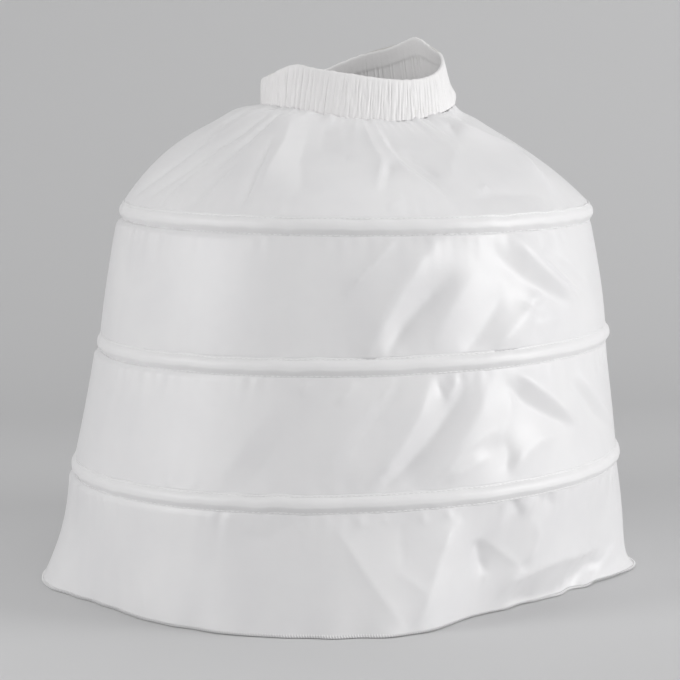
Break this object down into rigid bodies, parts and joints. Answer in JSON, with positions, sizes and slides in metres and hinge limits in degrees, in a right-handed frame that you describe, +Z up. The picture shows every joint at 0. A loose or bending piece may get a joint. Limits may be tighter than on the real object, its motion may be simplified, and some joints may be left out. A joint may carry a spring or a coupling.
{
  "type": "crinoline hoop petticoat",
  "caption": "White cloth petticoat in tiers, held out by sprung hoops in sewn casings below a gathered elastic waistband, standing on its overlocked hem.",
  "frame": {"origin": "on the floor, under the middle of the hem's bounding box", "axes": "+Z up, from the hem to the waist; +Y from the front of the skirt to its back; +X to the right of someone who faces the front"},
  "size_m": [0.5977, 0.5936, 0.5291],
  "materials": {
    "band_cloth": "satin",
    "elastic": "matte",
    "tier_cloth": "satin",
    "casing_cloth": "satin",
    "thread": "satin",
    "hoop_plastic": "satin",
    "sleeve_steel": "satin"
  },
  "bodies": {
    "root": {"waistband": "band_cloth", "waist_elastic": "elastic", "yoke": "tier_cloth", "second_tier": "tier_cloth", "third_tier": "tier_cloth", "hem_tier": "tier_cloth", "hem_overlock": "thread", "upper_hoop": "hoop_plastic", "middle_hoop": "hoop_plastic", "lower_hoop": "hoop_plastic", "upper_hoop_sleeve": "sleeve_steel", "middle_hoop_sleeve": "sleeve_steel", "lower_hoop_sleeve": "sleeve_steel", "upper_hoop_casing": "casing_cloth", "middle_hoop_casing": "casing_cloth", "lower_hoop_casing": "casing_cloth"}
  },
  "joints": []
}
